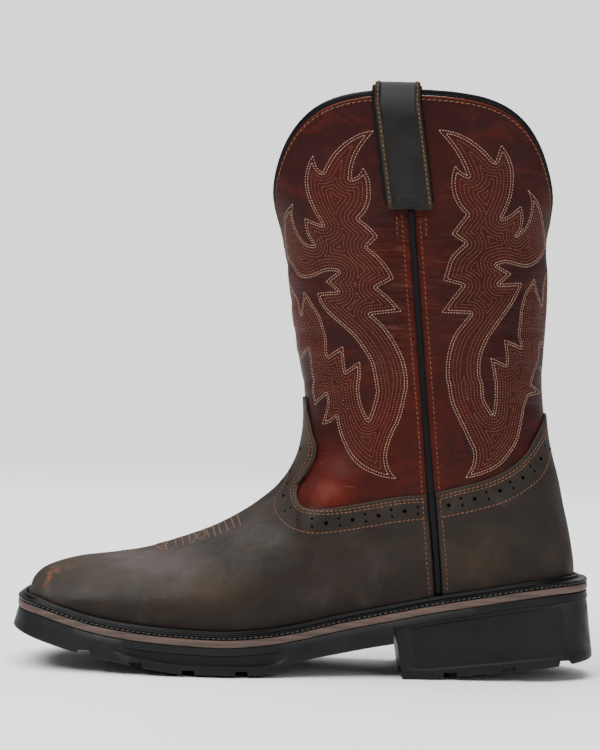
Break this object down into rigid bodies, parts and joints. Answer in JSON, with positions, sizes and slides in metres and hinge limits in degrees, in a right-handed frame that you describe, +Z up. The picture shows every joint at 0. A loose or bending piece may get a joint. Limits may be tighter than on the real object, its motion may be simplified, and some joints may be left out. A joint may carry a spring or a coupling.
{
  "type": "western work boot",
  "caption": "Pull-on western work boot with square toe, foxed foot, scalloped collar, pull straps, storm welt and lugged rubber sole.",
  "frame": {"origin": "on the floor, at the middle of the boot's length and width", "axes": "+X towards the heel, +Y towards the inner side of the foot, +Z up; the toe points to -X"},
  "size_m": [0.3136, 0.1129, 0.3124],
  "materials": {
    "rubber_black": "moulded, satin",
    "midsole_brown": "matt, edge trimmed",
    "welt_black": "smooth, slightly glossy",
    "leather_insole": "matt",
    "leather_red": "waxed, soft sheen",
    "leather_dark": "oiled, uneven",
    "trim_black": "smooth, soft sheen",
    "leather_strap": "oiled"
  },
  "bodies": {
    "root": {"outsole": "rubber_black", "heel": "rubber_black", "midsole": "midsole_brown", "welt": "welt_black", "insole": "leather_insole", "upper": "leather_red", "vamp": "leather_dark", "counter": "leather_dark", "collar_binding": "trim_black", "pull_strap_lateral": "leather_strap", "pull_strap_medial": "leather_strap", "side_piping_lateral": "trim_black", "side_piping_medial": "trim_black"}
  },
  "joints": []
}
